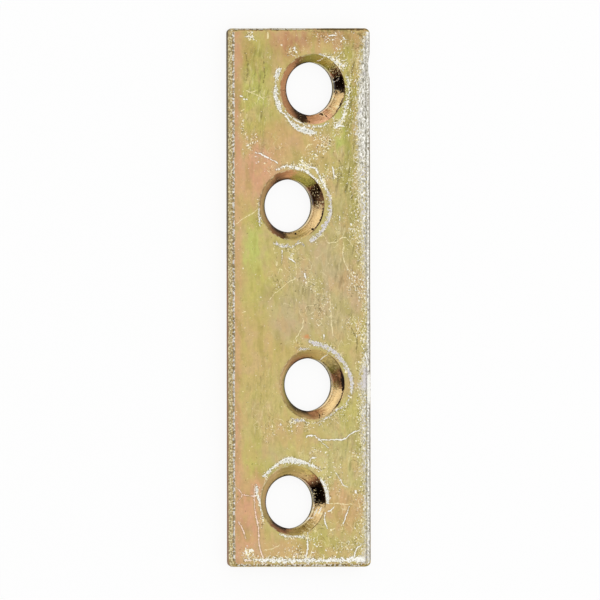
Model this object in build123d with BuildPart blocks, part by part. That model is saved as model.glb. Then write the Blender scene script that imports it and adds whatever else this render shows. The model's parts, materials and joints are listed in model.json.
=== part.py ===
from build123d import *

import os
from math import radians, tan

# A flat mending plate with four staggered, countersunk screw holes.
#
# The plate lies on its back face, which is at Z = 0 with the middle of the plate at the
# origin. Its length runs along Y, its width along X, and the screws go in from +Z.
# All sizes are in millimetres, and all angles in degrees.

# The blank, sheared from flat strip.
plate_length = 60.0
plate_width = 16.5
plate_thickness = 2.0
corner_radius = 0.5

# The rims. Shearing draws the front rim down into a soft roll, and tumbling only dulls
# the back rim.
front_roll = 0.3
back_break = 0.1

# The screw holes. A pair stands near each end, and the two holes of a pair lie on
# opposite sides of the centre line, so that neighbouring screws don't split the grain.
# All four are punched at one stroke, a little off the middle of the sheared blank.
end_margin = 7.0
pair_pitch = 13.0
stagger = 2.4
punch_offset_x = 0.2
punch_offset_y = 0.25
bore_diameter = 5.9
countersink_depth = 0.95
countersink_angle = 90.0

# What follows from them.
bore_radius = bore_diameter / 2
countersink_radius = bore_radius + countersink_depth * tan(radians(countersink_angle / 2))
outer_hole_y = plate_length / 2 - end_margin
inner_hole_y = outer_hole_y - pair_pitch
side_step = stagger / 2
hole_centres = [
    (side_step, outer_hole_y),
    (-side_step, inner_hole_y),
    (side_step, -inner_hole_y),
    (-side_step, -outer_hole_y),
]
punch_plane = Plane((punch_offset_x, punch_offset_y, plate_thickness))

with BuildPart() as mending_plate:
    # The blank, with its corners eased.
    with BuildSketch(Plane.XY):
        RectangleRounded(plate_width, plate_length, corner_radius)
    extrude(amount=plate_thickness)

    # The rims, before the holes, so that each face has only its outer edges.
    fillet(mending_plate.faces().sort_by(Axis.Z)[-1].edges(), front_roll)
    chamfer(mending_plate.faces().sort_by(Axis.Z)[0].edges(), back_break)

    # The holes: a straight bore up from the back face, opening into the screw's seat.
    with Locations(punch_plane):
        with Locations(*hole_centres):
            CounterSinkHole(
                radius=bore_radius,
                counter_sink_radius=countersink_radius,
                counter_sink_angle=countersink_angle,
            )

mending_plate.part.label = "mending_plate"

os.makedirs("parts", exist_ok=True)
export_step(mending_plate.part, "parts/mending_plate.step")
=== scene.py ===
"""A worn mending plate: a flat steel strip, plated with zinc and passivated yellow, with
four countersunk screw holes. The plate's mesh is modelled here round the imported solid,
and lies on a plain studio floor. Sizes inside the modelling are in millimetres."""

import json
from math import atan2, ceil, cos, degrees, pi, radians, sin

import bmesh
import bpy
from bpy.props import FloatProperty, FloatVectorProperty, PointerProperty
from mathutils import Matrix, Vector, noise


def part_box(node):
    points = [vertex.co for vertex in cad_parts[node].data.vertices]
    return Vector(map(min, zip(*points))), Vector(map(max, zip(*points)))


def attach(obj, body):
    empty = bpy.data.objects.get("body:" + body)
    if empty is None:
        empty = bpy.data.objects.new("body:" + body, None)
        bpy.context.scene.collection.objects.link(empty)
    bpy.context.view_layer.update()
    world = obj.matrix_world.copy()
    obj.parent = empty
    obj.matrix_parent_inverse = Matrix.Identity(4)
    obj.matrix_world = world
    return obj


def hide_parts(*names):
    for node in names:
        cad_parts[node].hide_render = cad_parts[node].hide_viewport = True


bl_info = {
    "name": "Mending plate",
    "version": (1, 0, 0),
    "blender": (4, 5, 0),
    "location": "View3D > Sidebar > Mending plate",
    "description": "A worn, yellow passivated mending plate with countersunk screw holes",
    "category": "Add Mesh",
}

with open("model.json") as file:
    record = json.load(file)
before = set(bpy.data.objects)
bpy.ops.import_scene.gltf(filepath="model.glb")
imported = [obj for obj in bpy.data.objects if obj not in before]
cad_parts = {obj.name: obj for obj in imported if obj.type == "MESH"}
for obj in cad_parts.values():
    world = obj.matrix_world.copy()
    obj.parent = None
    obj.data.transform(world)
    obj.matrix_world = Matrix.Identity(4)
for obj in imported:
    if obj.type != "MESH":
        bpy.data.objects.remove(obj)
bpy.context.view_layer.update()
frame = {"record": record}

NODE = "mending_plate"
MM = 0.001
low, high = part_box(NODE)
size_mm = (high - low) / MM
bores = [mount for mount in frame["record"]["mounts"] if mount["kind"] == "bore"]
hole_centres = [Vector(mount["pos_m"][:2]) / MM for mount in bores]


# ---------------------------------------------------------------------------
# What a user would change
# ---------------------------------------------------------------------------


def size_property(name, description, default, smallest):
    """A length in millimetres."""
    return FloatProperty(name=name, description=description, default=default, min=smallest)


def colour_property(name, description, red, green, blue):
    """A colour, given as it shows on a screen, from 0 to 255."""
    return FloatVectorProperty(
        name=name,
        description=description,
        default=(red / 255, green / 255, blue / 255),
        min=0,
        max=1,
        subtype="COLOR_GAMMA",
    )


class PlateSizes(bpy.types.PropertyGroup):
    """The plate's sizes, in millimetres"""

    width: size_property("Width", "Across the plate, along X", size_mm.x, 5)
    length: size_property("Length", "Along the plate, along Y", size_mm.y, 10)
    thickness: size_property("Thickness", "The gauge of the steel", size_mm.z, 0.5)
    corner: size_property("Corner radius", "Seen from above", 0.5, 0.35)
    rim: size_property("Rim width", "From the outline in to the flat panel", 0.3, 0.1)
    back_break: size_property("Back break", "The dulled rim of the back face", 0.1, 0.01)
    bore: size_property("Bore radius", "The straight part of a hole", bores[0]["dims"]["r_mm"], 0.5)
    land: size_property("Bore land", "Height of the bore", bores[0]["dims"]["length_mm"], 0.1)
    pitch: size_property("Mesh pitch", "The size of the mesh's squares", 0.375, 0.1)


class FinishColours(bpy.types.PropertyGroup):
    """The colours of the worn passivated finish"""

    olive: colour_property("Olive", "Most of the face", 198, 182, 118)
    green: colour_property("Green", "The greenest clouds", 193, 184, 104)
    lime: colour_property("Lime", "Bright green spots", 194, 198, 112)
    moss: colour_property("Moss", "Dull green clouds", 187, 178, 118)
    tan: colour_property("Tan", "Warm clouds", 205, 170, 118)
    pink: colour_property("Pink", "The warmest clouds", 211, 162, 126)
    rose: colour_property("Rose", "Small rosy blotches", 206, 170, 138)
    rust: colour_property("Rust", "A small orange spot", 215, 135, 85)
    beige: colour_property("Beige", "Greyish clouds", 193, 176, 136)
    gold: colour_property("Gold", "Yellow clouds", 200, 175, 112)
    zinc: colour_property("Zinc", "Bare zinc on the rims", 208, 204, 190)
    blush: colour_property("Blush", "Scratches in the pink clouds", 250, 226, 210)
    mist: colour_property("Mist", "Worn patches round two of the holes", 222, 221, 212)
    # The next colour is for scratches and flecks, and also paints a highlight on the right rim.
    scratch: colour_property("Scratch", "Fresh scratches and flecks", 250, 248, 240)
    lavender: colour_property("Lavender", "Broad scraped patches", 210, 204, 206)
    # The next colour is for faint scratches and crumbs, and also paints highlights and glints in the
    # seats and bores.
    cream: colour_property("Cream", "Faint scratches", 240, 228, 182)
    dark: colour_property("Dark", "Pits and dark streaks", 98, 88, 48)
    shade: colour_property("Shade", "Dark grain of the bare zinc", 120, 116, 98)
    # The next colour also paints reflections of light in the seats.
    bronze: colour_property("Bronze", "The brightest part of the seats", 236, 203, 146)
    copper: colour_property("Copper", "Pinkish parts of the seats", 212, 157, 110)
    salmon: colour_property("Salmon", "The palest copper of the seats", 240, 186, 144)
    umber: colour_property("Umber", "Reddish brown parts of the seats", 168, 118, 80)
    khaki: colour_property("Khaki", "Green parts of the seats", 156, 146, 68)
    straw: colour_property("Straw", "Dull yellow parts of the seats", 184, 162, 96)
    bark: colour_property("Bark", "Dark brown parts of the seats", 92, 62, 32)
    # The next colour is for pits and cracks, and also paints dark reflections and shade in the seats
    # and bores.
    soot: colour_property("Soot", "The darkest parts of the seats", 36, 20, 10)
    bore: colour_property("Bore", "The torn steel inside the bores", 168, 148, 86)
    # The next colour is for dark specks and lines on the rims, and also paints shade: on the left of
    # the seats, low on the walls and along the right outline.
    shadow: colour_property("Shadow", "The low part of the walls", 96, 78, 44)


class StageSettings(bpy.types.PropertyGroup):
    """Where the camera stands and how strong the lamp is"""

    camera_turn: FloatProperty(
        name="Camera turn",
        description="How far the camera leans from straight above towards -X",
        default=radians(22),
        subtype="ANGLE",
    )
    camera_roll: FloatProperty(
        name="Camera roll",
        description="The small lean of the plate in the view",
        default=radians(0.085),
        subtype="ANGLE",
    )
    framed: FloatProperty(
        name="Framed height",
        description="The height that the view spans",
        default=0.06696,
        unit="LENGTH",
    )
    key_power: FloatProperty(
        name="Key lamp",
        description="The large soft lamp overhead",
        default=0.12,
        unit="POWER",
    )


# ---------------------------------------------------------------------------
# The plate's mesh
# ---------------------------------------------------------------------------

FACE, SEAT, WALL, BACK = range(4)

# How far the rings round a hole reach out from its mouth, and the square gap past them.
COLLAR = 0.75
GAP_MARGIN = 0.25

# How far in from the outline the edges are worn, and where that wear is full.
EDGE_WEAR = 0.35
EDGE_FULL = 0.05

# How far the punch wandered at each hole, at the countersink's mouth and at the bore.
mouth_drift = [Vector(d) for d in ((-0.02, 0), (-0.12, 0.07), (-0.12, 0.05), (-0.02, 0.1))]
bore_drift = [Vector(d) for d in ((0.14, 0.04), (-0.08, -0.02), (-0.12, 0.02), (0.02, -0.07))]


def ripple(x, y, z, scale):
    """Smooth noise from -1 to 1."""
    return noise.noise(Vector((x, y, z)) * scale)


def ease(value, start, end):
    """Rises smoothly from 0 at start to 1 at end."""
    share = max(0.0, min(1.0, (value - start) / (end - start)))
    return share * share * (3 - 2 * share)


def mouth_radius(sizes):
    """The countersink's radius at the face. It widens by as much as it rises."""
    return sizes.bore + sizes.thickness - sizes.land


def hole_patches(bm, ring):
    """Deletes a square of the panel at each hole and returns the edges of each gap."""
    reach = ring + GAP_MARGIN
    gaps = []
    for centre in hole_centres:
        patch = []
        for face in bm.faces:
            middle = face.calc_center_median()
            if max(abs(middle.x - centre.x), abs(middle.y - centre.y)) < reach:
                patch.append(face)
        inside = set(patch)
        edges = {e for face in patch for e in face.edges}
        gap = [e for e in edges if any(face not in inside for face in e.link_faces)]
        bmesh.ops.delete(bm, geom=patch, context="FACES")
        gaps.append(gap)
    return gaps


def carry(bm, edges, place, material):
    """Extrudes a loop once, puts each new vertex where place says and returns the loop."""
    made = bmesh.ops.extrude_edge_only(bm, edges=edges)["geom"]
    for part in made:
        if isinstance(part, bmesh.types.BMVert):
            part.co = place(part.co)
        elif isinstance(part, bmesh.types.BMFace):
            part.material_index = material
    return [e for e in made if isinstance(e, bmesh.types.BMEdge) and len(e.link_faces) == 1]


def line_hole(bm, loop, centre, rings):
    """Takes a gap's loop through the plate. Each ring has a radius, a height, a drift of
    its centre and a material."""
    square = [v.co.xy for e in loop for v in e.verts]
    previous = centre
    for radius, height, drift, material in rings:

        def place(co, radius=radius, height=height, drift=drift, previous=previous):
            out = (co.xy - previous).normalized()
            return Vector((*(centre + drift + out * radius), height))

        loop = carry(bm, loop, place, material)
        previous = centre + drift

    def meet_back(co):
        out = (co.xy - previous).normalized()
        near = max(square, key=lambda corner: (corner - centre).normalized().dot(out))
        return Vector((*near, 0))

    carry(bm, loop, meet_back, BACK)


def wrap_rim(bm, loop, sizes, rings):
    """Takes the panel's outer loop round the rim to the back. Each ring has an inset from
    the outline, a height and a material."""
    core = Vector((sizes.width / 2 - sizes.corner, sizes.length / 2 - sizes.corner))
    for inset, height, material in rings:

        def place(co, inset=inset, height=height):
            near = Vector([max(-c, min(c, value)) for c, value in zip(core, co)])
            out = (co.xy - near).normalized()
            return Vector((*(near + out * (sizes.corner - inset)), height))

        loop = carry(bm, loop, place, material)


def seat_rings(sizes, mouth, bore):
    """The rings of one hole, from the lip down through the seat and bore to the back."""
    top = sizes.thickness
    wide = mouth_radius(sizes)
    # The mouth's edge is rounded: the seat begins this far in and this far down.
    inward = 0.03
    sunk = 0.06
    rings = [
        (wide + COLLAR, top, mouth * 0.3, FACE),
        (wide + 0.5, top, mouth * 0.7, FACE),
        (wide + 0.25, top, mouth, FACE),
        (wide + 0.1, top, mouth, FACE),
        (wide + inward, top - sunk / 4, mouth, FACE),
        (wide - inward, top - sunk, mouth, SEAT),
    ]
    steps = 7
    for step in range(1, steps + 1):
        share = step / steps
        radius = (wide - inward) * (1 - share) + sizes.bore * share
        height = (top - sunk) * (1 - share) + sizes.land * share
        rings.append((radius, height, mouth * (1 - share) + bore * share, SEAT))
    rings += [
        (sizes.bore - 0.01, sizes.land - 0.04, bore, SEAT),
        (sizes.bore, sizes.land * 0.5, bore, SEAT),
        (sizes.bore, 0.08, bore, SEAT),
        (sizes.bore + 0.02, 0.02, bore, SEAT),
        (sizes.bore + 0.08, 0, bore, BACK),
        (wide, 0, bore * 0.5, BACK),
    ]
    return rings


def rim_rings(sizes):
    """The rings round the plate: the soft roll, the sheared wall and the dulled back."""
    top = sizes.thickness
    steps = 6
    rings = []
    for step in range(1, steps + 1):
        turn = step / steps * pi / 2
        drop = sizes.rim * (1 - cos(turn))
        rings.append((sizes.rim * (1 - sin(turn)), top - drop, WALL))
    high_wall = top - sizes.rim
    for step in range(1, steps + 1):
        share = step / steps
        rings.append((0, high_wall * (1 - share) + sizes.back_break * share, WALL))
    rings += [
        (sizes.back_break * 0.3, sizes.back_break * 0.3, WALL),
        (sizes.back_break, 0, BACK),
        (sizes.rim, 0, BACK),
    ]
    return rings


def face_dip(x, y, half_x, half_y, mouth):
    """How far the worn face lies below the gauge."""
    dip = 0.02 + 0.012 * ripple(x, y, 3, 0.35)
    # It falls away at the right and at the bottom end.
    dip += 0.09 * ease(x, 6.2, half_x) ** 2
    dip += 0.12 * ease(-y, half_y - 0.9, half_y)
    # The punch leaves a faint ring round each mouth.
    ring_width = 0.7
    for centre, drift in zip(hole_centres, mouth_drift):
        away = (Vector((x, y)) - centre - drift).length - mouth
        if 0 <= away < ring_width:
            dip -= 0.022 * sin(away / ring_width * pi)
    return dip


def wall_bite(along, z, streaks, pits):
    """How deep the shears bit into a wall, in streaks that run from front to back and in
    pits. Each of the two has a depth and a seed."""
    streak_depth, streak_seed = streaks
    pit_depth, pit_seed = pits
    bite = 0.02 + streak_depth * ripple(along, z * 0.25, streak_seed, 2.3)
    return bite + pit_depth * ripple(along, z, pit_seed, 6)


def right_lip(y, z):
    """How far the right rim is pressed out, but for one flat by the far corner."""
    lip = 0.12 + 0.03 * ease(-y, -20, -16) + 0.015 * ease(-y, 0, 3)
    lip -= 0.16 * ease(abs(y - 25.8), 1.5, 0.6)
    return lip * ease(z, 0.9, 1.6)


def end_burr(x, y):
    """How far the burr stands out at the ends. The far one is highest by its middle."""
    if y < 0:
        return 0.07
    return 0.06 + 0.03 * ease(x, -3.6, -3.2) * ease(-x, 1.7, 2.2)


def wear_mesh(bm, sizes):
    """Makes the plate's flat faces and straight walls as uneven as punched strip is."""
    half_x = sizes.width / 2
    half_y = sizes.length / 2
    top = sizes.thickness
    mouth = mouth_radius(sizes)
    # The face's dips are felt this far down, and the walls' wear stays off the back.
    soft_depth = 0.32
    back_clear = 0.02
    burr_clear = 0.3
    # One front corner is nicked.
    nick = Vector((-half_x, -half_y, top))
    nick_reach = 0.75
    for vert in bm.verts:
        x, y, z = vert.co
        side_x = 1 if x > 0 else -1
        side_y = 1 if y > 0 else -1
        dip = face_dip(x, y, half_x, half_y, mouth)
        if z > top - 0.001:
            vert.co.z -= dip
        elif z > top - soft_depth:
            vert.co.z -= dip * ease(z, top - soft_depth, top)
        edge_x = ease(abs(x), half_x - EDGE_WEAR, half_x - EDGE_FULL)
        edge_y = ease(abs(y), half_y - EDGE_WEAR, half_y - EDGE_FULL)
        if z / top > back_clear:
            vert.co.x -= edge_x * wall_bite(y, z, (0.014, 7), (0.008, 1)) * side_x
            vert.co.y -= edge_y * wall_bite(x, z, (0.016, 9), (0.01, 2)) * side_y
        if x > 0:
            vert.co.x += edge_x * right_lip(y, z)
        if z > burr_clear:
            vert.co.y += edge_y * end_burr(x, y) * side_y
        near = (Vector((x, y, z)) - nick).length
        if near < nick_reach:
            pull = 0.3 * (1 - ease(near, 0.1, nick_reach))
            vert.co += Vector((0.6, 0.7, -0.5)) * pull


# ---------------------------------------------------------------------------
# Nodes written as sums
# ---------------------------------------------------------------------------


class Wire:
    """A node's output. Arithmetic on wires adds Math nodes to their tree."""

    def __init__(self, socket):
        self.socket = socket

    def __add__(self, other):
        return combine("ADD", self, other)

    def __sub__(self, other):
        return combine("SUBTRACT", self, other)

    def __rsub__(self, other):
        return combine("SUBTRACT", other, self)

    def __mul__(self, other):
        return combine("MULTIPLY", self, other)

    def __abs__(self):
        return combine("ABSOLUTE", self)

    __radd__ = __add__
    __rmul__ = __mul__


def tree_of(*values):
    """The node tree that the first wire among the values belongs to."""
    return next(value.socket.id_data for value in values if isinstance(value, Wire))


def put(socket, value):
    """Links a wire to a socket, or sets the socket to a plain value."""
    if isinstance(value, Wire):
        socket.id_data.links.new(value.socket, socket)
    else:
        socket.default_value = value


def combine(operation, *values):
    """One Math node."""
    node = tree_of(*values).nodes.new("ShaderNodeMath")
    node.operation = operation
    for socket, value in zip(node.inputs, values):
        put(socket, value)
    return Wire(node.outputs[0])


def vector_math(operation, *values, output=0):
    """One Vector Math node."""
    node = tree_of(*values).nodes.new("ShaderNodeVectorMath")
    node.operation = operation
    for socket, value in zip(node.inputs, values):
        put(socket, value)
    return Wire(node.outputs[output])


def length(vector):
    """The length of a vector."""
    return vector_math("LENGTH", vector, output=1)


def shift(vector, stretch, offset):
    """A vector stretched along each axis and then moved."""
    return vector_math("MULTIPLY_ADD", vector, stretch, offset)


def brighten(colour, factor):
    """A colour times a factor."""
    node = tree_of(colour, factor).nodes.new("ShaderNodeVectorMath")
    node.operation = "SCALE"
    put(node.inputs[0], colour)
    put(node.inputs["Scale"], factor)
    return Wire(node.outputs[0])


def parts_of(vector):
    """The three parts of a vector or colour."""
    node = tree_of(vector).nodes.new("ShaderNodeSeparateXYZ")
    put(node.inputs[0], vector)
    return [Wire(socket) for socket in node.outputs]


def vector_of(x, y, z=0.0):
    """A vector from three numbers or wires."""
    node = tree_of(x, y, z).nodes.new("ShaderNodeCombineXYZ")
    for socket, value in zip(node.inputs, (x, y, z)):
        put(socket, value)
    return Wire(node.outputs[0])


def leaning(place, angle):
    """A place turned about the plate's upright axis, by an angle in degrees."""
    node = tree_of(place).nodes.new("ShaderNodeVectorRotate")
    node.rotation_type = "Z_AXIS"
    put(node.inputs["Vector"], place)
    node.inputs["Angle"].default_value = radians(angle)
    return Wire(node.outputs[0])


def remap(value, start, end, low=0.0, high=1.0, smooth=True):
    """Carries a value from start..end to low..high. A smooth one stays within them."""
    node = tree_of(value).nodes.new("ShaderNodeMapRange")
    node.interpolation_type = "SMOOTHSTEP" if smooth else "LINEAR"
    node.clamp = smooth
    for index, item in enumerate((value, start, end, low, high)):
        put(node.inputs[index], item)
    return Wire(node.outputs[0])


def grain(place, scale, seed, stretch=(1, 1, 1), detail=2, output=0):
    """Noise from 0 to 1 with about scale features in a millimetre."""
    node = tree_of(place).nodes.new("ShaderNodeTexNoise")
    moved = shift(place, [scale * part for part in stretch], (seed, seed * 0.7, -seed))
    put(node.inputs["Vector"], moved)
    node.inputs["Scale"].default_value = 1
    node.inputs["Detail"].default_value = detail
    return Wire(node.outputs[output])


def swing(place, scale, seed, stretch=(1, 1, 1), detail=2):
    """Noise from -0.5 to 0.5."""
    return grain(place, scale, seed, stretch, detail) - 0.5


def wobble(place, scale, seed, stretch=(1, 1, 1), detail=2):
    """A vector of three noises from -0.5 to 0.5."""
    noises = grain(place, scale, seed, stretch, detail, output=1)
    return vector_math("SUBTRACT", noises, (0.5, 0.5, 0.5))


def crumbs(place, scale, seed, thickness, stretch=(1, 1, 1)):
    """Ragged crumbs that cover more of the face where the thickness is near 1."""
    return remap(grain(place, scale, seed, stretch) + thickness * 0.2, 0.7, 0.735)


def cells(place, scale, seed, stretch=(1, 1, 1)):
    """Scattered points: the distance to the nearest, in cells, and two random values that
    belong to it."""
    node = tree_of(place).nodes.new("ShaderNodeTexVoronoi")
    moved = shift(place, [scale * part for part in stretch], (seed, -seed, seed * 0.3))
    put(node.inputs["Vector"], moved)
    node.inputs["Scale"].default_value = 1
    pick, size, _ = parts_of(Wire(node.outputs["Color"]))
    return Wire(node.outputs["Distance"]), pick, size


def curve(value, points, straight=False):
    """A Float Curve through the points, which runs on level past its ends."""
    node = tree_of(value).nodes.new("ShaderNodeFloatCurve")
    mapping = node.mapping
    mapping.use_clip = False
    mapping.extend = "HORIZONTAL"
    line = mapping.curves[0]
    line.points[0].location = points[0]
    line.points[1].location = points[-1]
    for point in points[1:-1]:
        line.points.new(*point)
    for point in line.points:
        point.handle_type = "VECTOR" if straight else "AUTO_CLAMPED"
    mapping.update()
    put(node.inputs["Value"], value)
    return Wire(node.outputs[0])


def curve_of(value, points):
    """A smooth curve through points of a value and its result."""
    start, end = points[0][0], points[-1][0]
    share = remap(value, start, end, smooth=False)
    return curve(share, [((at - start) / (end - start), result) for at, result in points])


def ramp(value, stops):
    """A colour that changes along a value from 0 to 1. Each stop has its place and colour."""
    node = tree_of(value).nodes.new("ShaderNodeValToRGB")
    elements = node.color_ramp.elements
    elements[0].position, elements[0].color = stops[0]
    elements[1].position, elements[1].color = stops[-1]
    for position, colour in stops[1:-1]:
        elements.new(position).color = colour
    put(node.inputs[0], value)
    return Wire(node.outputs[0])


def highest(values):
    """The largest of several wires."""
    result = values[0]
    for value in values[1:]:
        result = combine("MAXIMUM", result, value)
    return result


def total(values):
    """The sum of several wires."""
    return sum(values[1:], values[0])


def oval(place, x, y, radius_x, radius_y):
    """How far a place lies from an oval's middle: 1 at its outline."""
    stretch = (1 / radius_x, 1 / radius_y, 0)
    return length(shift(place, stretch, (-x / radius_x, -y / radius_y, 0)))


def spread(place, fields):
    """How thickly something lies at a place, from a list of oval fields."""
    return highest([remap(oval(place, *spot), 0.4, 1.4, share, 0) for *spot, share in fields])


def stroke(along, across, points):
    """How deep a place lies inside a stroke, in millimetres, or less than zero outside.
    Each point has its places along and across, and a half width."""
    points = sorted(points)
    start, end = points[0][0], points[-1][0]
    margin = (end - start) * 0.03
    share = remap(along, start - margin, end + margin, smooth=False)
    reach = end - start + 2 * margin
    shares = [(point[0] - start + margin) / reach for point in points]
    outside = -0.4
    middle = curve(share, [(s, p[1]) for s, p in zip(shares, points)])
    widths = [(s, p[2]) for s, p in zip(shares, points)]
    width = curve(share, [(0, outside), *widths, (1, outside)], straight=True)
    return width - abs(across - middle)


def scratch(x, y, points):
    """A stroke across the face, which runs along the axis that it covers more of."""
    span_x = max(p[0] for p in points) - min(p[0] for p in points)
    span_y = max(p[1] for p in points) - min(p[1] for p in points)
    if span_x > span_y:
        return stroke(x, y, points)
    return stroke(y, x, [(p[1], p[0], p[2]) for p in points])


def deepest(x, y, lines):
    """How deep a place lies in the deepest of several scratches."""
    return highest([scratch(x, y, points) for points in lines])


def round_hole(x, y, centre, seam):
    """The angle, in degrees from seam to seam + 360, and the distance from a hole's axis."""
    across = x - centre.x
    up = y - centre.y
    turn = radians(seam)
    back = across * -cos(turn) - up * sin(turn)
    side = across * sin(turn) - up * cos(turn)
    angle = combine("ARCTAN2", side, back) * (180 / pi) + (180 + seam)
    return angle, length(vector_of(across, up))


# ---------------------------------------------------------------------------
# Where the finish is worn, in millimetres from the plate's middle
# ---------------------------------------------------------------------------

# Clouds in the coating: colour, centre x and y, radius along x and y, and strength.
clouds = [
    ("beige", 2.3, 0.8, 4.4, 6.5, 0.8), ("gold", -5.5, -5.5, 3.2, 6.0, 0.7),
    ("gold", -6.7, 10.3, 1.8, 2.6, 0.9), ("moss", 6.0, 12.0, 1.8, 6.5, 0.7),
    ("moss", 5.4, -17.5, 2.6, 5.5, 0.7), ("tan", 1.0, 29.2, 8.0, 1.6, 0.8),
    ("gold", -3.0, 26.6, 1.5, 2.6, 0.8), ("tan", -0.8, 28.2, 3.0, 1.8, 0.9),
    ("pink", -1.8, 29.0, 2.2, 0.9, 0.7), ("tan", 2.8, 27.8, 2.6, 0.9, 0.7),
    ("green", -5.6, 24.0, 2.3, 6.6, 1.0), ("lime", -5.4, 24.4, 1.5, 2.5, 0.5),
    ("green", 5.9, 25.0, 1.3, 4.6, 0.8), ("tan", -2.8, 17.6, 4.4, 2.6, 0.95),
    ("pink", -5.0, 14.2, 3.0, 3.4, 1.0), ("tan", 1.4, 17.4, 1.9, 1.3, 0.7),
    ("tan", 2.1, 15.4, 2.2, 1.3, 0.5), ("lime", 4.8, 17.6, 1.2, 1.7, 1.0),
    ("green", -5.6, 8.2, 2.0, 1.2, 0.8), ("lime", -5.6, 5.0, 1.5, 3.0, 0.9),
    ("green", -5.2, 1.0, 1.8, 3.2, 0.8), ("green", 6.3, 5.4, 1.4, 1.6, 0.5),
    ("beige", 5.0, 3.4, 2.6, 7.5, 0.5), ("pink", 6.0, 1.6, 1.8, 2.4, 0.35),
    ("beige", -1.6, -2.2, 2.6, 2.6, 0.7), ("gold", -1.2, -6.4, 2.4, 1.6, 0.6),
    ("green", 5.6, -12.0, 2.2, 3.4, 0.7), ("tan", -1.6, -14.8, 3.8, 1.8, 0.5),
    ("green", 2.6, -19.4, 6.0, 3.0, 0.35), ("green", -5.2, -18.8, 2.0, 3.0, 0.9),
    ("green", -4.8, 19.8, 1.9, 2.2, 0.6), ("green", 1.6, -27.2, 2.4, 1.8, 0.5),
    ("pink", -6.4, -25.6, 1.9, 5.0, 1.0), ("pink", -6.4, -21.4, 1.6, 2.2, 0.8),
    ("tan", 5.4, -23.6, 2.6, 2.5, 0.95), ("tan", -2.0, -28.0, 4.0, 1.4, 0.8),
    ("tan", 2.0, -28.8, 5.0, 0.9, 0.5), ("umber", -1.4, 27.4, 1.8, 1.8, 0.42),
    ("umber", -0.6, 29.0, 3.6, 1.2, 0.45), ("umber", 3.4, 29.0, 4.0, 1.1, 0.45),
    ("umber", 4.6, 27.0, 1.0, 1.4, 0.2), ("khaki", 5.9, 21.0, 1.2, 6.5, 0.65),
    ("khaki", 5.6, 13.6, 1.5, 2.4, 0.5), ("khaki", 5.9, 9.0, 1.3, 3.0, 0.4),
    ("khaki", 5.6, 4.0, 1.6, 3.0, 0.2), ("khaki", -5.2, 26.2, 1.8, 2.8, 0.4),
    ("umber", -6.8, 27.4, 0.9, 2.6, 0.35), ("umber", 6.6, 28.8, 1.4, 1.2, 0.25),
    ("lime", -4.9, 21.2, 1.2, 1.4, 0.5), ("lime", 4.2, 21.0, 1.6, 1.2, 0.6),
    ("cream", 1.6, -19.0, 2.6, 1.8, 0.2), ("cream", 5.0, -18.5, 2.4, 4.5, 0.13),
    ("beige", -4.1, 0.3, 1.5, 1.4, 0.4), ("beige", 6.2, -0.2, 1.5, 2.0, 0.4),
    ("beige", 6.2, -9.6, 1.3, 1.8, 0.6), ("beige", -3.6, -17.6, 1.6, 1.6, 0.5),
    ("khaki", -4.6, 19.6, 2.6, 3.6, 0.2), ("pink", 3.8, -22.4, 1.3, 2.0, 0.4),
]

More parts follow.
